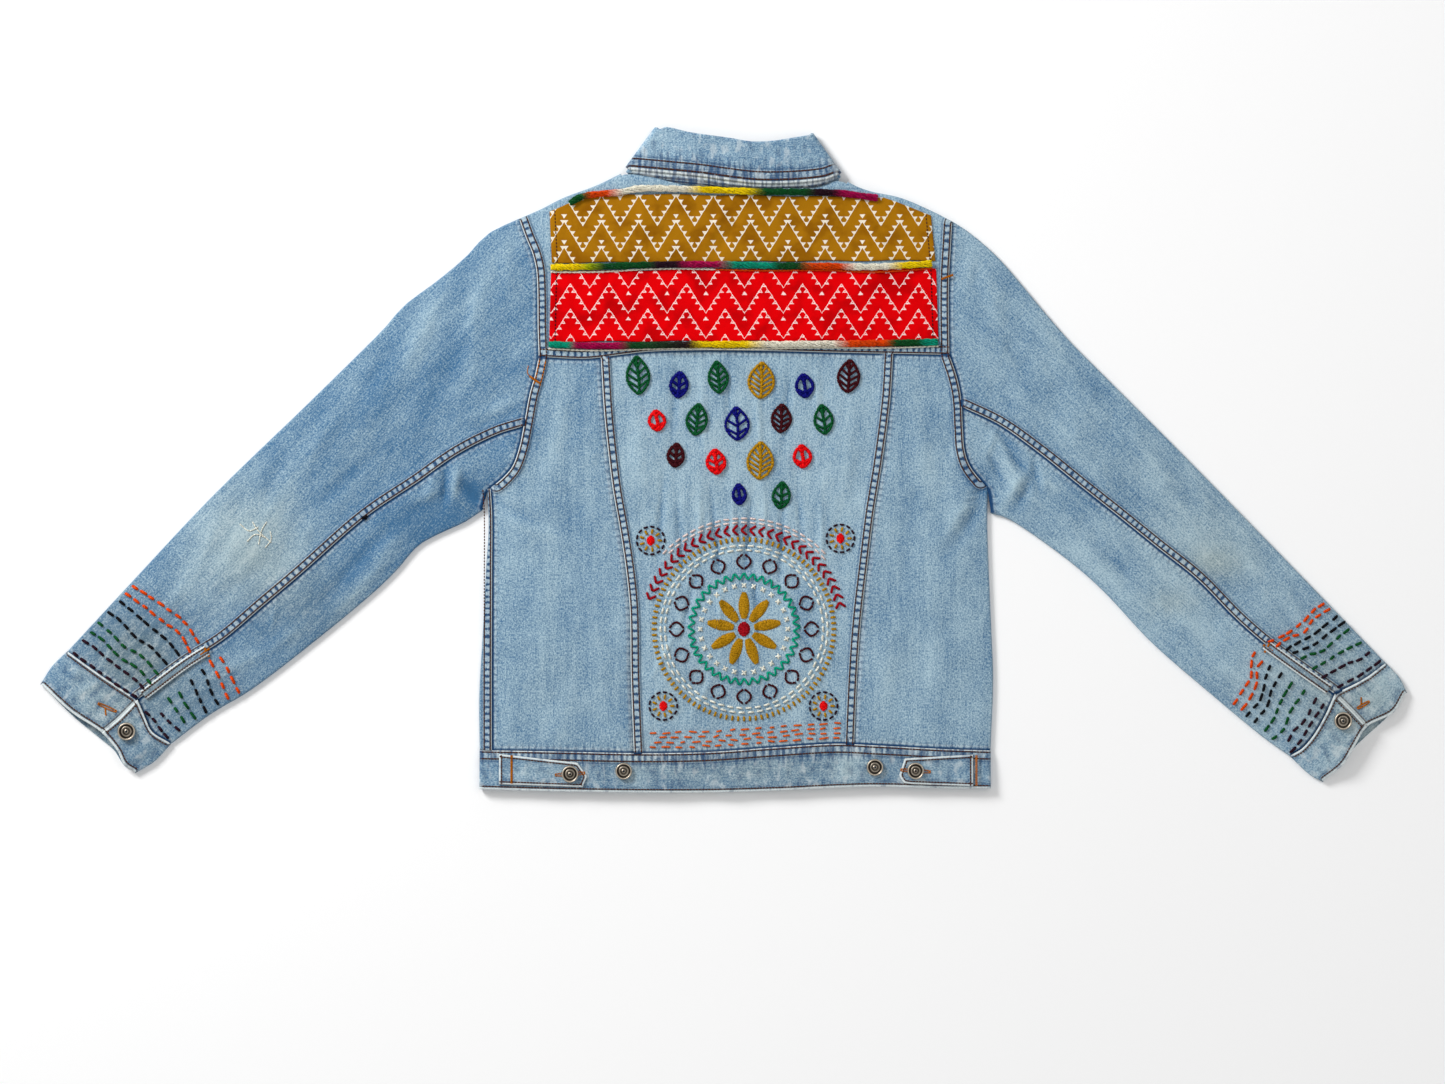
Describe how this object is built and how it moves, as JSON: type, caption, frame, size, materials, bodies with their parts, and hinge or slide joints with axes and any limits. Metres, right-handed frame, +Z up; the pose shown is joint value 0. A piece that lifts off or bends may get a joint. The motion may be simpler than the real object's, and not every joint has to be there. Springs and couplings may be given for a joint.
{
  "type": "denim jacket",
  "caption": "Light denim trucker jacket laid flat face down, its back up, with yoke patches, yarn trims, waist tabs and spread sleeves.",
  "frame": {"origin": "the middle of the underside, on the surface that the jacket lies on", "axes": "+X towards the wearer's right cuff, +Y towards the collar, +Z up, out of the jacket's back, which faces up"},
  "size_m": [1.2968, 0.6314, 0.0179],
  "materials": {
    "denim": "washed light-blue twill denim with brown double stitching and worn seams",
    "denim_side": "the same denim, a shade darker, as on the side panels and under sleeves",
    "mustard_print": "mustard cotton with a white zigzag print",
    "red_print": "red cotton with a white zigzag print",
    "yarn_yellow": "wool yarn in changing colours, yellow for the most part",
    "yarn_green": "wool yarn in changing colours, green for the most part",
    "yarn_orange": "wool yarn in changing colours, orange for the most part",
    "brass": "plain domed metal buttons, antiqued"
  },
  "bodies": {
    "root": {"back_yoke": "denim", "back_centre": "denim", "back_side_left": "denim_side", "back_side_right": "denim_side", "front_left": "denim", "front_right": "denim", "front_band_left": "denim", "front_band_right": "denim", "top_sleeve_left": "denim", "top_sleeve_right": "denim", "under_sleeve_left": "denim_side", "under_sleeve_right": "denim_side", "sleeve_placket_left": "denim", "sleeve_placket_right": "denim", "cuff_left": "denim", "cuff_right": "denim", "collar": "denim", "waistband": "denim", "waist_tab_left": "denim", "waist_tab_right": "denim", "patch_mustard": "mustard_print", "patch_red": "red_print", "yarn_top": "yarn_yellow", "yarn_middle": "yarn_green", "yarn_bottom": "yarn_orange", "button_tab_left": "brass", "button_tab_right": "brass", "button_spare_left": "brass", "button_spare_right": "brass", "button_cuff_left": "brass", "button_cuff_right": "brass", "button_front_1": "brass", "button_front_2": "brass", "button_front_3": "brass", "button_front_4": "brass", "button_front_5": "brass", "button_front_6": "brass"}
  },
  "joints": []
}
